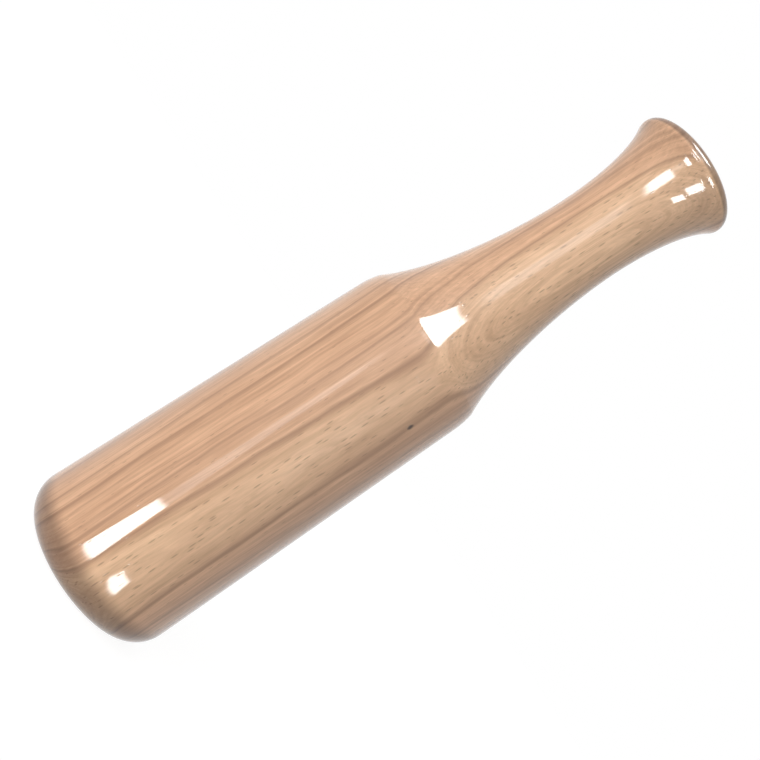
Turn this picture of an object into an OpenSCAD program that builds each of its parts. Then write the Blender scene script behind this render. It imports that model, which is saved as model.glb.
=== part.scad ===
/* [Head] */
// Diameter of the head at its widest place, just above the striking face
head_d = 65.2; // [60:0.1:80]
// Diameter of the flat middle of the striking face
face_d = 36; // [16:0.5:42]
// Angle that the crown round that flat has turned up by at its edge, in degrees
crown_angle = 6; // [2:0.5:12]
// Radius that rounds the crowned face into the side of the head
edge_r = 11.3; // [5:0.1:15]
// Angle that the side of the head leans in by towards the handle, in degrees
head_taper = 1.33; // [0:0.01:3]
// Height above the striking face where the shoulder starts to turn in
shoulder_z = 132.8; // [100:0.1:145]
// Radius of the shoulder's turn
shoulder_r = 32.5; // [10:0.5:60]
// Angle that the shoulder has turned in by at the crease, in degrees
shoulder_angle = 15; // [5:0.5:25]

/* [Handle] */
// Angle at which the neck leaves the crease, in degrees
neck_angle = 27.3; // [16:0.1:38]
// Share of the neck's height over which it keeps near that angle
neck_fullness = 0.28; // [0.1:0.01:0.45]
// Diameter of the waist, the thinnest place of the handle
waist_d = 31.2; // [24:0.1:40]
// Height of the waist above the striking face
waist_z = 208.7; // [185:0.1:222]
// Share of the neck's height that runs nearly straight into the waist
waist_fullness = 0.3; // [0.1:0.01:0.45]

/* [Tail] */
// Length of the whole pestle, from the striking face to the tail face
length = 250; // [240:0.5:290]
// Diameter of the rim at the tail, over its rounding
rim_d = 45.7; // [40:0.1:60]
// Radius that rounds the rim into the tail face
lip_r = 3; // [1:0.1:6]
// Angle at which the flare meets the rim's rounding, in degrees
flare_angle = 32.5; // [15:0.5:45]
// Share of the flare's height that runs nearly straight out of the waist
flare_start = 0.22; // [0.1:0.01:0.45]
// Share of the flare's height over which it keeps near its last angle
flare_fullness = 0.3; // [0.1:0.01:0.45]

/* [Hidden] */
// Steps along each rounded edge and along each long curve of the outline
arc_steps = 12;
curve_steps = 36;
// Sides of the body all round
$fn = 128;

// Outline points are [radius, height], read from the striking face up
// The crown is tangent to the flat and to the edge rounding, which fixes its radius
edge_z = crown_r() * (1 - cos(crown_angle)) + edge_r * cos(crown_angle);
edge_end = [head_d / 2 - edge_r * (1 - cos(head_taper)), edge_z + edge_r * sin(head_taper)];
side_end = [edge_end[0] - (shoulder_z - edge_end[1]) * tan(head_taper), shoulder_z];
shoulder_centre = side_end - shoulder_r * [cos(head_taper), sin(head_taper)];
crease = shoulder_centre + shoulder_r * [cos(shoulder_angle), sin(shoulder_angle)];
waist = [waist_d / 2, waist_z];
lip_centre = [rim_d / 2 - lip_r, length - lip_r];
flare_end = lip_centre + lip_r * [cos(flare_angle), -sin(flare_angle)];
neck_h = waist_z - crease[1];
flare_h = flare_end[1] - waist_z;

function crown_r() =
    (head_d / 2 - edge_r + edge_r * sin(crown_angle) - face_d / 2) / sin(crown_angle);

// Points of an arc, given by the tilt of the outward normal at its two ends
// The first point is left out, because the stretch before it ends there
function arc(centre, radius, from, to) = [
    for (i = [1 : arc_steps])
        let (tilt = from + (to - from) * i / arc_steps)
        centre + radius * [cos(tilt), sin(tilt)]
];

// Points of a cubic curve from a to d that leaves towards b and arrives from c
// The first point is left out, as above
function curve(a, b, c, d) = [
    for (i = [1 : curve_steps])
        let (t = i / curve_steps, s = 1 - t)
        s * s * s * a + 3 * s * s * t * b + 3 * s * t * t * c + t * t * t * d
];

function head_outline() = concat(
    [[0, 0], [face_d / 2, 0]],
    arc([face_d / 2, crown_r()], crown_r(), -90, crown_angle - 90),
    arc([head_d / 2 - edge_r, edge_z], edge_r, crown_angle - 90, head_taper),
    [side_end],
    arc(shoulder_centre, shoulder_r, head_taper, shoulder_angle)
);

function neck_outline() = curve(
    crease,
    crease + neck_fullness * neck_h * [-sin(neck_angle), cos(neck_angle)],
    waist - waist_fullness * neck_h * [0, 1],
    waist
);

function flare_outline() = curve(
    waist,
    waist + flare_start * flare_h * [0, 1],
    flare_end - flare_fullness * flare_h * [sin(flare_angle), cos(flare_angle)],
    flare_end
);

function tail_outline() = concat(
    arc(lip_centre, lip_r, -flare_angle, 90),
    [[0, length]]
);

// The whole pestle, turned from one billet of wood
module turned_body()
    color([0.80, 0.63, 0.47])
    rotate_extrude()
    polygon(concat(head_outline(), neck_outline(), flare_outline(), tail_outline()));

turned_body();
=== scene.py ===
"""A turned and lacquered wooden pestle, standing on its striking face in a plain white studio.

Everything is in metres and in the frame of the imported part: +Z runs from the striking face to the
tail. The photograph looks along +Y with the tail to the upper right, so three words name the
directions here: up the picture's cross axis is -X, towards the camera is -Y, tailward is +Z.
"""

import math

import bpy
import numpy as np
from mathutils import Matrix, Vector, noise


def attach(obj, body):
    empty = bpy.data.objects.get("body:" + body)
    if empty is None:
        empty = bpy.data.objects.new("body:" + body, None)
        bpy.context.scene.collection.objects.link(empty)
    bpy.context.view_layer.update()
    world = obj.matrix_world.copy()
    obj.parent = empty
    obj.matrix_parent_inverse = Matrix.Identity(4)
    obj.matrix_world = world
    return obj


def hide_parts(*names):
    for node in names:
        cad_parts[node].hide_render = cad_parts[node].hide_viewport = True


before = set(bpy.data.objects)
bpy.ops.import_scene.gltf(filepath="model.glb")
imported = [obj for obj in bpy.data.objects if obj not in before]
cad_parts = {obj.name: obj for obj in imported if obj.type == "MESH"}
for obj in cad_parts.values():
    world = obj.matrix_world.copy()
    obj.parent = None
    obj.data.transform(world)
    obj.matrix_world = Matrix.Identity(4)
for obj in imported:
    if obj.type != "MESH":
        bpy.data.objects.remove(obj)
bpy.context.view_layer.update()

MM = 0.001

# The camera that took the photograph, from the outline of the pestle in it
CAMERA_DISTANCE = 0.3335
CAMERA_HEIGHT = 0.1209
CAMERA_SIDE = 0.0015
CAMERA_LENS = 45.98
TAIL_AWAY = math.radians(1.81)
TAIL_RISE = math.radians(33.43)

# The mesh of the body: sides all round, and the widest step and turn between two rings
SIDES = 256
RING_STEP = 1.3 * MM
RING_TURN = math.radians(2.5)
OUTLINE_STEP = 0.2 * MM
CREASE_TURN = math.radians(8)
# A stretch this many times longer than the next is a straight one, and the round next to it is tangent
STRAIGHT = 3.0
CREASE_SOFTNESS = 0.4 * MM

# What the lathe and the sanding left: how far the surface wanders, and over what distance
WANDER = 0.022 * MM
WANDER_ALONG = 17 * MM
WANDER_AROUND = 9 * MM
# A pin knot on the head, a shallow dark pit
KNOT = Vector((19.6, -23.0, 120.0)) * MM
KNOT_RADIUS = 0.8 * MM
KNOT_DEPTH = 0.25 * MM


def towards(up, towards_camera, tailward):
    """A vector named by the photograph's directions."""
    return Vector((-up, -towards_camera, tailward))


def make_camera():
    """The photograph's camera: level with the pestle's middle, and rolled so that the tail rises."""
    away = Vector((0, math.cos(TAIL_AWAY), math.sin(TAIL_AWAY)))
    along = Vector((0, -math.sin(TAIL_AWAY), math.cos(TAIL_AWAY)))
    down = Vector((1, 0, 0))
    right = math.cos(TAIL_RISE) * along + math.sin(TAIL_RISE) * down
    up = math.sin(TAIL_RISE) * along - math.cos(TAIL_RISE) * down
    place = Vector((CAMERA_SIDE, 0, CAMERA_HEIGHT)) - CAMERA_DISTANCE * away
    lens = bpy.data.cameras.new("camera")
    lens.lens = CAMERA_LENS
    lens.clip_start = 0.01
    camera = bpy.data.objects.new("camera", lens)
    turn = Matrix((right, up, -away)).transposed()
    camera.matrix_world = Matrix.Translation(place) @ turn.to_4x4()
    bpy.context.collection.objects.link(camera)
    bpy.context.scene.camera = camera


def node_outline(node):
    """Radius and height of each ring of a turned node, from the foot's middle to the top's."""
    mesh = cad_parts[node].data
    points = np.empty(3 * len(mesh.vertices))
    mesh.vertices.foreach_get("co", points)
    x, y, z = points.reshape(-1, 3).T
    level = np.round(z / (0.002 * MM)).astype(int)
    rings = [(np.hypot(x, y)[level == k].max(), z[level == k].mean()) for k in np.unique(level)]
    return np.array([(0, rings[0][1])] + rings + [(0, rings[-1][1])])


def headings(points):
    """Direction in which each stretch of an outline runs."""
    step = np.diff(points, axis=0)
    return np.arctan2(step[:, 1], step[:, 0])


def smooth_outline(points):
    """The outline as a close row of points on one smooth curve that breaks only at the crease."""
    step = np.diff(points, axis=0)
    length = np.hypot(*step.T)
    place = np.r_[0, np.cumsum(length)]
    slope = step / length[:, None]
    ratio = length[:-1] / length[1:]
    blend = np.select([ratio > STRAIGHT, ratio < 1 / STRAIGHT], [0.0, 1.0], ratio / (1 + ratio))
    middle = slope[:-1] + (slope[1:] - slope[:-1]) * blend[:, None]
    leaving = np.vstack([slope[:1], middle, slope[-1:]])
    arriving = leaving.copy()
    turn = np.abs(np.diff(headings(points)))
    for i in np.flatnonzero(turn > CREASE_TURN) + 1:
        arriving[i], leaving[i] = slope[i - 1], slope[i]
    close = np.arange(0, place[-1], OUTLINE_STEP)
    i = np.clip(np.searchsorted(place, close, side="right") - 1, 0, len(length) - 1)
    t = ((close - place[i]) / length[i])[:, None]
    run = length[i][:, None]
    curve = ((1 + 2 * t) * (1 - t) ** 2 * points[i] + t * (1 - t) ** 2 * run * leaving[i]
             + t * t * (3 - 2 * t) * points[i + 1] - t * t * (1 - t) * run * arriving[i + 1])
    return soften(np.vstack([curve, points[-1:]]))


def soften(points):
    """Rounds the crease over by a hair, as sanding and lacquer do."""
    reach = int(3 * CREASE_SOFTNESS / OUTLINE_STEP)
    weight = np.exp(-0.5 * (np.arange(-reach, reach + 1) * OUTLINE_STEP / CREASE_SOFTNESS) ** 2)
    weight /= weight.sum()
    softened = points.copy()
    for axis in (0, 1):
        softened[reach:-reach, axis] = np.convolve(points[:, axis], weight, mode="valid")
    return softened


def ring_places(points):
    """The outline thinned to rings that are closer where it turns more."""
    length = np.hypot(*np.diff(points, axis=0).T)
    turn = np.abs(np.diff(headings(points), append=headings(points)[-1]))
    count = np.r_[0, np.cumsum(length / RING_STEP + turn / RING_TURN)]
    wanted = np.linspace(0, count[-1], int(count[-1]) + 1)
    return np.c_[np.interp(wanted, count, points[:, 0]), np.interp(wanted, count, points[:, 1])]


def surface_error(point):
    """How far the real surface stands off the turned form here: the lathe's wander and the knot's pit."""
    spot = Vector((point.x / WANDER_AROUND, point.y / WANDER_AROUND, point.z / WANDER_ALONG))
    pit = math.exp(-((point - KNOT).length / KNOT_RADIUS) ** 2)
    return WANDER * noise.noise(spot) - KNOT_DEPTH * pit


def turned_mesh(name, outline):
    """A closed mesh of revolution with a slightly wandering surface."""
    rings = outline[1:-1]
    heading = np.arctan2(*np.gradient(rings, axis=0).T[::-1])
    vertices = [Vector((0, 0, outline[0][1]))]
    for (radius, height), angle in zip(rings.tolist(), heading.tolist()):
        for k in range(SIDES):
            turn = 2 * math.pi * k / SIDES
            out = Vector((math.cos(turn), math.sin(turn), 0))
            point = radius * out + Vector((0, 0, height))
            normal = math.sin(angle) * out - Vector((0, 0, math.cos(angle)))
            vertices.append(point + surface_error(point) * normal)
    vertices.append(Vector((0, 0, outline[-1][1])))
    last = len(vertices) - 1
    faces = []
    for k in range(SIDES):
        after = (k + 1) % SIDES
        faces.append((0, 1 + after, 1 + k))
        for ring in range(len(rings) - 1):
            low, high = 1 + ring * SIDES, 1 + (ring + 1) * SIDES
            faces.append((low + k, low + after, high + after, high + k))
        top = 1 + (len(rings) - 1) * SIDES
        faces.append((last, top + k, top + after))
    mesh = bpy.data.meshes.new(name)
    mesh.from_pydata(vertices, [], faces)
    mesh.shade_smooth()
    return mesh


class Graph:
    """Builds a node tree so that a pattern reads like a formula."""

    def __init__(self, tree):
        self.tree = tree
        tree.nodes.clear()

    def add(self, kind, inputs=None, **settings):
        node = self.tree.nodes.new(kind)
        for key, value in settings.items():
            setattr(node, key, value)
        for socket, value in (inputs or {}).items():
            self.feed(node.inputs[socket], value)
        return node

    def feed(self, socket, value):
        if isinstance(value, bpy.types.NodeSocket):
            self.tree.links.new(value, socket)
        else:
            socket.default_value = value

    def math(self, operation, *values):
        return self.add("ShaderNodeMath", dict(enumerate(values)), operation=operation).outputs[0]

    def vector(self, operation, *values):
        node = self.add("ShaderNodeVectorMath", operation=operation)
        for i, value in enumerate(values):
            scale = operation == "SCALE" and i == 1
            self.feed(node.inputs["Scale"] if scale else node.inputs[i], value)
        return node.outputs["Value"] if operation in ("LENGTH", "DISTANCE", "DOT_PRODUCT") else node.outputs[0]

    def split(self, vector):
        return self.add("ShaderNodeSeparateXYZ", {0: vector}).outputs

    def join(self, x, y, z):
        return self.add("ShaderNodeCombineXYZ", {0: x, 1: y, 2: z}).outputs[0]

    def noise(self, place, detail=2.0, roughness=0.5, colour=False):
        inputs = {"Vector": place, "Scale": 1.0, "Detail": detail, "Roughness": roughness}
        node = self.add("ShaderNodeTexNoise", inputs)
        return node.outputs["Color" if colour else "Fac"]

    def span(self, value, low, high, to_low=0.0, to_high=1.0, smooth=False):
        inputs = {"Value": value, "From Min": low, "From Max": high, "To Min": to_low, "To Max": to_high}
        kind = "SMOOTHSTEP" if smooth else "LINEAR"
        return self.add("ShaderNodeMapRange", inputs, interpolation_type=kind).outputs[0]

    def ramp(self, value, stops):
        node = self.add("ShaderNodeValToRGB", {0: value})
        elements = node.color_ramp.elements
        for _ in stops[2:]:
            elements.new(1.0)
        for element, (place, colour) in zip(elements, sorted(stops, key=lambda stop: stop[0])):
            element.position = place
            element.color = (*colour, 1.0)
        return node.outputs[0]

    def mix(self, factor, a, b, blend="MIX"):
        node = self.add("ShaderNodeMix", data_type="RGBA", blend_type=blend)
        self.feed(node.inputs[0], factor)
        self.feed(node.inputs[6], a)
        self.feed(node.inputs[7], b)
        return node.outputs[2]


# Growth rings: where the pith runs at the striking face and how it leans, in millimetres
PITH = (7.3, -21.4)
PITH_LEAN = (-0.006, 0.0445)
# Radius of each dark line about the pith, how dark it is, and how far the darkening reaches inwards
RINGS = [
    (4.5, 0.15, 1.0), (9.2, 0.25, 1.4), (14.6, 1.00, 1.1), (19.8, 0.80, 1.3), (21.4, 0.50, 0.7),
    (25.1, 0.30, 0.8), (27.3, 1.00, 1.3), (30.9, 0.90, 0.9), (38.2, 0.80, 2.4), (44.0, 0.70, 2.6),
]
RING_EDGE = 0.35
RING_SPAN = 60.0
RING_COLOUR = (0.27, 0.125, 0.06, 1)
# The yellower wood lies inside the strong ring, the pinker outside it
INNER_RADIUS = 14.6
INNER_COLOUR = (0.84, 0.54, 0.325, 1)
OUTER_COLOUR = (0.76, 0.455, 0.275, 1)
# Pores are short dashes along the grain: the cell that each lies in, and their half width as its share
PORE_CELL = (1.15, 1.15, 7.0)
PORE_HALF = 0.25
PORE_COLOUR = (0.36, 0.20, 0.11, 1)
# The ends are greyed, partly as end grain that has soaked up the finish and partly as painted shade: how high
# the greying reaches at the head and at the tail
HEAD_STAIN_AND_SHADE = (9.0, 15.5)
TAIL_STAIN_AND_SHADE = (246.3, 247.3)
# Grey of the painted shade and the end-grain stain at both ends
STAIN_AND_SHADE_GREY = (0.44, 0.42, 0.40, 1)
# How far the rings and the pores darken the wood
RING_DEPTH = 0.62
PORE_DEPTH = 0.6
# Tints of the wood: the levels of a noise between which each runs, and its colours at the two
STREAK_TINT = (0.34, 0.66, (0.82, 0.78, 0.75, 1), (1.08, 1.09, 1.10, 1))
FIBRE_TINT = (0.34, 0.66, (0.88, 0.86, 0.84, 1), (1.06, 1.06, 1.06, 1))
CLOUD_TINT = (0.3, 0.7, (0.94, 0.92, 0.90, 1), (1.04, 1.05, 1.06, 1))
KNOT_COLOUR = (0.06, 0.03, 0.015, 1)
KNOT_STRETCH = (1, 1, 0.6)


def grey(level):
    return (level, level, level)


def ring_stops():
    """Each ring darkens slowly outwards and ends at a short edge."""
    stops = [(0.0, grey(0))]
    for radius, dark, reach in RINGS:
        stops.append(((radius - reach) / RING_SPAN, grey(0.08 * dark)))
        stops.append((radius / RING_SPAN, grey(dark)))
        stops.append(((radius + RING_EDGE) / RING_SPAN, grey(0)))
    return stops


def swayed(g, place, across, along, amount):
    """The place pushed sideways by a slow noise, so that the grain isn't ruler straight."""
    push = g.noise(g.vector("MULTIPLY", place, (1 / across, 1 / across, 1 / along)), colour=True)
    push = g.vector("SUBTRACT", push, (0.5, 0.5, 0.5))
    return g.vector("MULTIPLY", push, (amount, amount, 0))


def from_pith(g, grain):
    """Distance from the pith, which leans a little along the pestle."""
    x, y, z = g.split(grain)
    x = g.math("SUBTRACT", x, g.math("MULTIPLY_ADD", z, PITH_LEAN[0], PITH[0]))
    y = g.math("SUBTRACT", y, g.math("MULTIPLY_ADD", z, PITH_LEAN[1], PITH[1]))
    return g.vector("LENGTH", g.join(x, y, 0.0))


def tinted(g, wood, pattern, tint):
    """The wood under a tint that runs from one colour to another with a pattern."""
    low, high, dark, light = tint
    return g.mix(1.0, wood, g.mix(g.span(pattern, low, high), dark, light), "MULTIPLY")


def from_knot(g, place):
    """Distance from the knot in millimetres, counted shorter along the grain."""
    middle = tuple(k * s / MM for k, s in zip(KNOT, KNOT_STRETCH))
    return g.vector("DISTANCE", g.vector("MULTIPLY", place, KNOT_STRETCH), middle)


def wood_and_lacquer():
    """Pale open-pored hardwood under a clear gloss, with one block's rings running right through."""
    material = bpy.data.materials.new("lacquered_hardwood")
    material.use_nodes = True
    g = Graph(material.node_tree)
    place = g.vector("SCALE", g.add("ShaderNodeTexCoord").outputs["Object"], 1 / MM)
    grain = g.vector("ADD", place, swayed(g, place, 26, 80, 2.4))
    grain = g.vector("ADD", grain, swayed(g, place, 4, 24, 0.8))
    radius = from_pith(g, grain)
    ring = g.ramp(g.math("DIVIDE", radius, RING_SPAN), ring_stops())
    outer = g.span(radius, INNER_RADIUS - 2.5, INNER_RADIUS + 1.5, smooth=True)

    x, _, z = g.split(grain)
    scaled = [g.math("MULTIPLY", value, scale) for value, scale in ((radius, 1.5), (x, 0.08), (z, 0.012))]
    streaks = g.noise(g.join(*scaled), detail=4.0, roughness=0.65)
    fibre = g.noise(g.vector("MULTIPLY", grain, (1.1, 1.1, 0.07)), detail=4.0, roughness=0.6)
    cloud = g.noise(g.vector("MULTIPLY", place, (1 / 9, 1 / 9, 1 / 30)), detail=2.0)
    wood = g.mix(outer, INNER_COLOUR, OUTER_COLOUR)
    for pattern, tint in ((streaks, STREAK_TINT), (fibre, FIBRE_TINT), (cloud, CLOUD_TINT)):
        wood = tinted(g, wood, pattern, tint)
    wood = g.mix(g.math("MULTIPLY", ring, RING_DEPTH), wood, RING_COLOUR)

    cells = g.vector("DIVIDE", grain, PORE_CELL)
    nearest = g.add("ShaderNodeTexVoronoi", {"Vector": cells, "Scale": 1.0}).outputs["Distance"]
    size = g.span(outer, 0.0, 1.0, PORE_HALF, PORE_HALF * 0.55)
    pore = g.span(g.math("DIVIDE", nearest, size), 1.15, 0.45, smooth=True)
    wood = g.mix(g.math("MULTIPLY", pore, PORE_DEPTH), wood, PORE_COLOUR)

    z = g.split(place)[2]
    # Painted shade, partly end-grain stain: the wood turns grey towards both ends
    head_stain_shade_mask = g.span(z, HEAD_STAIN_AND_SHADE[1], HEAD_STAIN_AND_SHADE[0], smooth=True)
    tail_stain_shade_mask = g.span(z, TAIL_STAIN_AND_SHADE[0], TAIL_STAIN_AND_SHADE[1], smooth=True)
    wood = g.mix(g.math("MAXIMUM", head_stain_shade_mask, tail_stain_shade_mask), wood, g.mix(1.0, wood, STAIN_AND_SHADE_GREY, "MULTIPLY"))

    wood = g.mix(g.span(from_knot(g, place), 1.0, 0.4, smooth=True), wood, KNOT_COLOUR)

    height = g.math("ADD", g.math("MULTIPLY", pore, -1.0), g.math("MULTIPLY", fibre, 0.25))
    bump = g.add("ShaderNodeBump", {"Height": height, "Strength": 0.10, "Distance": 0.0001}).outputs[0]
    shader = g.add("ShaderNodeBsdfPrincipled", {
        "Base Color": wood, "Roughness": 0.5, "Specular IOR Level": 0.15, "Normal": bump,
        "Coat Weight": 1.0, "Coat Roughness": 0.035, "Coat IOR": 1.5, "Coat Normal": bump})
    g.add("ShaderNodeOutputMaterial", {0: shader.outputs[0]})
    return material


def make_body():
    """The body in place of its plain solid: the same outline, meshed finely and finished."""
    outline = ring_places(smooth_outline(node_outline("turned_body")))
    mesh = turned_mesh("pestle_body", outline)
    mesh.materials.append(wood_and_lacquer())
    body = bpy.data.objects.new("pestle_body", mesh)
    bpy.context.collection.objects.link(body)
    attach(body, "root")
    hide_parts("turned_body")


def sheet(name, corners, cells=1):
    """A sheet stretched between four corners, in as many cells each way, with a map from 0 to 1 across it."""
    a, b, c, d = corners
    steps = [i / cells for i in range(cells + 1)]
    points = [(1 - t) * ((1 - s) * a + s * b) + t * ((1 - s) * d + s * c) for t in steps for s in steps]
    row = cells + 1
    faces = [(i, i + 1, i + row + 1, i + row) for j in range(cells) for i in range(j * row, j * row + cells)]
    mesh = bpy.data.meshes.new(name)
    mesh.from_pydata(points, [], faces)
    across = mesh.uv_layers.new(name="across")
    for loop, spot in zip(mesh.loops, across.data):
        spot.uv = (loop.vertex_index % row / cells, loop.vertex_index // row / cells)
    obj = bpy.data.objects.new(name, mesh)
    bpy.context.collection.objects.link(obj)
    return obj


def seen_white(g):
    """1 for the rays that see the white background itself: from the camera, in gloss or through glass."""
    rays = g.add("ShaderNodeLightPath").outputs
    either = g.math("MAXIMUM", rays["Is Camera Ray"], rays["Is Glossy Ray"])
    return g.math("MAXIMUM", either, rays["Is Transmission Ray"])


# The floor's colour, and how white it shows by itself, so that only a faint shadow stays
FLOOR_SIZE = 30.0
FLOOR_COLOUR = (0.80, 0.80, 0.79, 1)
FLOOR_GLOW = 0.93
FLOOR_LIT = 0.25


def make_floor():
    """A pale floor that the lacquer doesn't mirror, so that the lamps below its level still show in it."""
    half = FLOOR_SIZE / 2
    sides = ((-half, -half), (half, -half), (half, half), (-half, half))
    floor = sheet("floor", [Vector((x, y, 0)) for x, y in sides])
    floor.visible_glossy = False
    material = bpy.data.materials.new("floor")
    material.use_nodes = True
    g = Graph(material.node_tree)
    lit = g.add("ShaderNodeBsdfDiffuse", {"Color": FLOOR_COLOUR}).outputs[0]
    glow = g.add("ShaderNodeEmission", {"Color": (1, 1, 1, 1), "Strength": FLOOR_GLOW}).outputs[0]
    dim = g.add("ShaderNodeMixShader", {0: FLOOR_LIT, 2: lit}).outputs[0]
    white = g.add("ShaderNodeAddShader", {0: glow, 1: dim}).outputs[0]
    shader = g.add("ShaderNodeMixShader", {0: seen_white(g), 1: lit, 2: white}).outputs[0]
    g.add("ShaderNodeOutputMaterial", {0: shader})
    floor.data.materials.append(material)


# The light that falls on the wood: an even fill and soft lobes of sky, each with its strength and spread
FILL = 0.06
LOBES = [
    (towards(0.47, 0.83, 0.30), 4.9, 8.0),
    (towards(0.25, -1.0, 0.35), 3.0, 12.0),
]


def make_world():
    """A white room that lights the wood from the key's side, and from behind for the far side."""
    world = bpy.data.worlds.new("studio")
    bpy.context.scene.world = world
    world.use_nodes = True
    g = Graph(world.node_tree)
    ray = g.vector("NORMALIZE", g.add("ShaderNodeTexCoord").outputs["Generated"])
    level = FILL
    for direction, strength, spread in LOBES:
        facing = g.math("MAXIMUM", g.vector("DOT_PRODUCT", ray, tuple(direction.normalized())), 0.0)
        level = g.math("MULTIPLY_ADD", g.math("POWER", facing, spread), strength, level)
    lit = g.add("ShaderNodeBackground", {"Color": (1, 1, 1, 1), "Strength": level}).outputs[0]
    white = g.add("ShaderNodeBackground", {"Color": (1, 1, 1, 1), "Strength": 1.0}).outputs[0]
    shader = g.add("ShaderNodeMixShader", {0: seen_white(g), 1: lit, 2: white}).outputs[0]
    g.add("ShaderNodeOutputWorld", {0: shader})


def card(name, away, corners, glow, edge=0.08):
    """A panel that only the lacquer mirrors, so far from the pestle's axis on the camera's side.

    Its corners are given as up and tailward. A glow of 1 is as white as the room, so such a panel
    is a flag, which hides a brighter one from a part of the surface.
    """
    obj = sheet(name, [towards(up, away, tailward) for up, tailward in corners], cells=8)
    material = bpy.data.materials.new(name)
    material.use_nodes = True
    g = Graph(material.node_tree)
    u, v, _ = g.split(g.add("ShaderNodeTexCoord").outputs["UV"])
    rims = [g.math("PINGPONG", spot, 0.5) for spot in (u, v)]
    across, over = [g.span(rim, 0.0, edge, smooth=True) for rim in rims]
    clear = g.add("ShaderNodeBsdfTransparent").outputs[0]
    bright = g.add("ShaderNodeEmission", {"Color": (1, 1, 1, 1), "Strength": glow}).outputs[0]
    shader = g.add("ShaderNodeMixShader", {0: g.math("MULTIPLY", across, over), 1: clear, 2: bright}).outputs[0]
    g.add("ShaderNodeOutputMaterial", {0: shader})
    obj.data.materials.append(material)
    for kind in ("camera", "diffuse", "transmission", "volume_scatter", "shadow"):
        setattr(obj, "visible_" + kind, False)


# How bright the lamps' panels show, against the room's 1
SOFTBOX = 22
STRIP = 3.6


def make_cards():
    """The panels whose images are the highlights of the photograph, from the head to the rim."""
    card("softbox_head", 0.65, [(0.31, -0.17), (0.255, -0.07), (0.085, -0.062), (0.045, -0.15)], SOFTBOX)
    card("spot_head", 0.65, [(-0.225, -0.155), (-0.30, -0.145), (-0.57, -0.185), (-0.65, -0.225)], SOFTBOX, 0.2)
    card("softbox_shoulder", 0.80, [(1.00, 1.90), (0.425, 0.875), (-0.095, 0.82), (-0.42, 1.70)], SOFTBOX)
    card("strip_head", 0.66, [(0.27, -0.10), (0.265, 0.21), (0.18, 0.205), (0.07, -0.10)], STRIP, 0.2)
    card("strip_handle", 0.66, [(0.245, 0.68), (0.295, 0.30), (-0.035, 0.30), (-0.075, 0.66)], STRIP, 0.2)
    card("softbox_rim", 0.30, [(0.165, 0.255), (0.15, 0.17), (0.01, 0.17), (0.01, 0.255)], SOFTBOX, 0.25)
    left = [(-0.139, 0.222), (-0.181, 0.182), (-0.305, 0.175), (-0.25, 0.224)]
    right = [(-0.125, 0.181), (-0.16, 0.07), (-0.33, 0.02), (-0.26, 0.173)]
    card("window_left", 0.30, left, SOFTBOX, 0.15)
    card("window_right", 0.30, right, SOFTBOX, 0.15)
    card("flag_shoulder", 0.06, [(0.055, 0.157), (0.055, 0.134), (-0.065, 0.134), (-0.065, 0.157)], 1.0, 0.02)
    card("flag_head", 0.06, [(-0.004, 0.15), (-0.004, 0.03), (-0.06, 0.03), (-0.06, 0.15)], 1.0, 0.02)


make_camera()
make_body()
make_floor()
make_world()
make_cards()

bpy.context.scene.view_settings.view_transform = "Standard"
